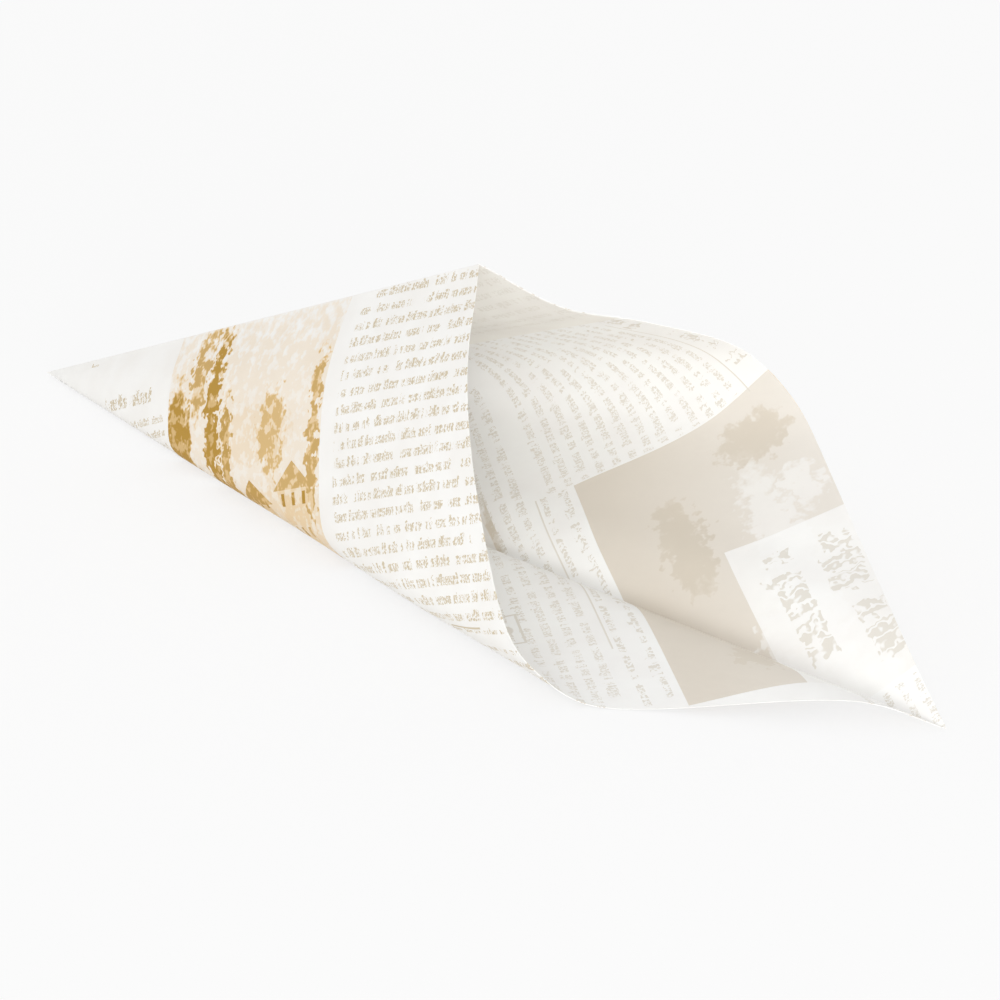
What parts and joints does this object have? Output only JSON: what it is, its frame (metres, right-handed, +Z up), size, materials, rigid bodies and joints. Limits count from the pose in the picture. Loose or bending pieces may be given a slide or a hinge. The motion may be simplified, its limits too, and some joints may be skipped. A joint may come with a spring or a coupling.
{
  "type": "paper food cone",
  "caption": "Pointed takeaway bag of printed greaseproof paper, folded in half and glued along one edge, opened out and lying on its fold.",
  "frame": {"origin": "on the floor, under the middle of the bounding box", "axes": "+X along the folded edge, from the closed tip to the pointed corner of the mouth; +Z up"},
  "size_m": [0.3148, 0.105, 0.0767],
  "materials": {
    "paper": "matte, printed outside in golden brown"
  },
  "bodies": {
    "root": {"paper_cone": "paper"}
  },
  "joints": []
}
